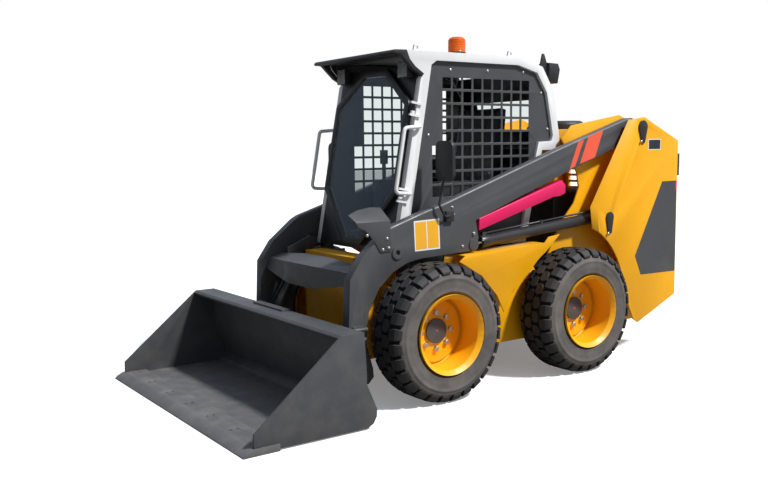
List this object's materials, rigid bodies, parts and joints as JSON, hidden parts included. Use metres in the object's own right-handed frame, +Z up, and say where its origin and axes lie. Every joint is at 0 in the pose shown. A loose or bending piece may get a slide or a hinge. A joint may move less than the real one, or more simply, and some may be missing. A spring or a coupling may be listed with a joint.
{
  "type": "skid steer loader",
  "caption": "Wheeled skid steer loader with an enclosed cab, radial lift boom, quick coupler and general-purpose bucket, parked with its boom down.",
  "frame": {"origin": "on the floor at the centre of the machine's bounding box, bucket included", "axes": "+X to the operator's left, +Y to the rear, +Z up"},
  "size_m": [1.784, 3.495, 2.051],
  "materials": {
    "body_paint": "glossy yellow-orange paint",
    "grey_paint": "satin charcoal paint",
    "white_paint": "glossy off-white paint",
    "black_paint": "satin black paint",
    "strut_paint": "magenta safety paint",
    "chrome": "polished chrome rod",
    "rubber": "matt tyre rubber",
    "tinted_glass": "tinted safety glass",
    "upholstery": "black vinyl",
    "plastic": "textured black plastic",
    "amber": "amber lens",
    "lens": "lamp housing and lens",
    "cast": "engine castings"
  },
  "bodies": {
    "chassis": {"axle_housings": "black_paint", "beacon": "amber", "cab_floor": "black_paint", "cab_frame": "white_paint", "cab_front": "black_paint", "cab_mounts": "black_paint", "cab_rear": "black_paint", "consoles": "plastic", "engine_block": "cast", "engine_hood": "body_paint", "front_wall": "body_paint", "handles": "white_paint", "intake_dome": "plastic", "main_frame": "body_paint", "mesh_panel_left": "grey_paint", "mesh_panel_right": "grey_paint", "pivot_pins": "black_paint", "rear_glass": "tinted_glass", "seat_back": "upholstery", "seat_base": "black_paint", "seat_cushion": "upholstery", "side_skirt_left": "body_paint", "side_skirt_right": "body_paint", "tail_lamps": "lens", "tow_lug": "body_paint", "tower_left": "body_paint", "tower_right": "body_paint", "visor": "black_paint", "work_lamps": "lens"},
    "boom": {"arm_left": "grey_paint", "arm_right": "grey_paint", "cross_member": "grey_paint", "hose_guards": "grey_paint", "lift_strut": "strut_paint", "mirrors": "black_paint"},
    "bucket": {"bucket_shell": "grey_paint", "coupler": "grey_paint", "cutting_edge": "grey_paint"},
    "door": {"door_frame": "black_paint", "door_glass": "tinted_glass"},
    "tailgate": {"tailgate": "body_paint"},
    "wheel_front_left": {"tyre_front_left": "rubber", "rim_front_left": "body_paint"},
    "wheel_front_right": {"tyre_front_right": "rubber", "rim_front_right": "body_paint"},
    "wheel_rear_left": {"tyre_rear_left": "rubber", "rim_rear_left": "body_paint"},
    "wheel_rear_right": {"tyre_rear_right": "rubber", "rim_rear_right": "body_paint"},
    "lift_barrel_left": {"lift_barrel_left": "black_paint"},
    "lift_rod_left": {"lift_rod_left": "chrome"},
    "lift_barrel_right": {"lift_barrel_right": "black_paint"},
    "lift_rod_right": {"lift_rod_right": "chrome"},
    "tilt_barrel_left": {"tilt_barrel_left": "black_paint"},
    "tilt_rod_left": {"tilt_rod_left": "chrome"},
    "tilt_barrel_right": {"tilt_barrel_right": "black_paint"},
    "tilt_rod_right": {"tilt_rod_right": "chrome"}
  },
  "joints": [
    {"name": "roll_front_left", "type": "hinge", "parent": "chassis", "child": "wheel_front_left", "pos_m": [0.666, -0.4425, 0.384], "axis": [1, 0, 0], "continuous": true},
    {"name": "roll_front_right", "type": "hinge", "parent": "chassis", "child": "wheel_front_right", "pos_m": [-0.666, -0.4425, 0.384], "axis": [1, 0, 0], "continuous": true},
    {"name": "roll_rear_left", "type": "hinge", "parent": "chassis", "child": "wheel_rear_left", "pos_m": [0.666, 0.6525, 0.384], "axis": [1, 0, 0], "continuous": true},
    {"name": "roll_rear_right", "type": "hinge", "parent": "chassis", "child": "wheel_rear_right", "pos_m": [-0.666, 0.6525, 0.384], "axis": [1, 0, 0], "continuous": true},
    {"name": "boom_lift", "type": "hinge", "parent": "chassis", "child": "boom", "pos_m": [0, 1.3415, 1.511], "axis": [-1, 0, 0], "range_deg": [0, 67]},
    {"name": "lift_barrel_swing_left", "type": "hinge", "parent": "chassis", "child": "lift_barrel_left", "pos_m": [0.51, 1.0295, 0.931], "axis": [-1, 0, 0], "range_deg": [0, 68]},
    {"name": "lift_rod_stroke_left", "type": "slide", "parent": "lift_barrel_left", "child": "lift_rod_left", "axis": [0, -0.9958, -0.0921], "range_m": [0, 0.728]},
    {"name": "lift_barrel_swing_right", "type": "hinge", "parent": "chassis", "child": "lift_barrel_right", "pos_m": [-0.51, 1.0295, 0.931], "axis": [-1, 0, 0], "range_deg": [0, 68]},
    {"name": "lift_rod_stroke_right", "type": "slide", "parent": "lift_barrel_right", "child": "lift_rod_right", "axis": [0, -0.9958, -0.0921], "range_m": [0, 0.728]},
    {"name": "bucket_tilt", "type": "hinge", "parent": "boom", "child": "bucket", "pos_m": [0, -0.8425, 0.175], "axis": [1, 0, 0], "range_deg": [-20, 107]},
    {"name": "tilt_barrel_swing_left", "type": "hinge", "parent": "boom", "child": "tilt_barrel_left", "pos_m": [0.425, -0.6225, 0.823], "axis": [1, 0, 0], "range_deg": [-1, 4]},
    {"name": "tilt_rod_stroke_left", "type": "slide", "parent": "tilt_barrel_left", "child": "tilt_rod_left", "axis": [0, -0.5075, -0.8617], "range_m": [-0.055, 0.285]},
    {"name": "tilt_barrel_swing_right", "type": "hinge", "parent": "boom", "child": "tilt_barrel_right", "pos_m": [-0.425, -0.6225, 0.823], "axis": [1, 0, 0], "range_deg": [-1, 4]},
    {"name": "tilt_rod_stroke_right", "type": "slide", "parent": "tilt_barrel_right", "child": "tilt_rod_right", "axis": [0, -0.5075, -0.8617], "range_m": [-0.055, 0.285]},
    {"name": "door_swing", "type": "hinge", "parent": "chassis", "child": "door", "pos_m": [0.412, -0.52624, 1.02968], "axis": [0, 0.1914, 0.9815], "range_deg": [0, 88]},
    {"name": "tailgate_swing", "type": "hinge", "parent": "chassis", "child": "tailgate", "pos_m": [0.512, 1.735, 0.9], "axis": [0, 0, -1], "range_deg": [0, 90]}
  ],
  "couplings": [
    {"joint": "lift_barrel_swing_left", "follows": "boom_lift", "ratio": 1},
    {"joint": "lift_rod_stroke_left", "follows": "boom_lift", "m_per_rad": 0.6217},
    {"joint": "lift_barrel_swing_right", "follows": "boom_lift", "ratio": 1},
    {"joint": "lift_rod_stroke_right", "follows": "boom_lift", "m_per_rad": 0.6217},
    {"joint": "tilt_barrel_swing_left", "follows": "bucket_tilt", "ratio": 0.03},
    {"joint": "tilt_rod_stroke_left", "follows": "bucket_tilt", "m_per_rad": 0.15181},
    {"joint": "tilt_barrel_swing_right", "follows": "bucket_tilt", "ratio": 0.03},
    {"joint": "tilt_rod_stroke_right", "follows": "bucket_tilt", "m_per_rad": 0.15181}
  ]
}
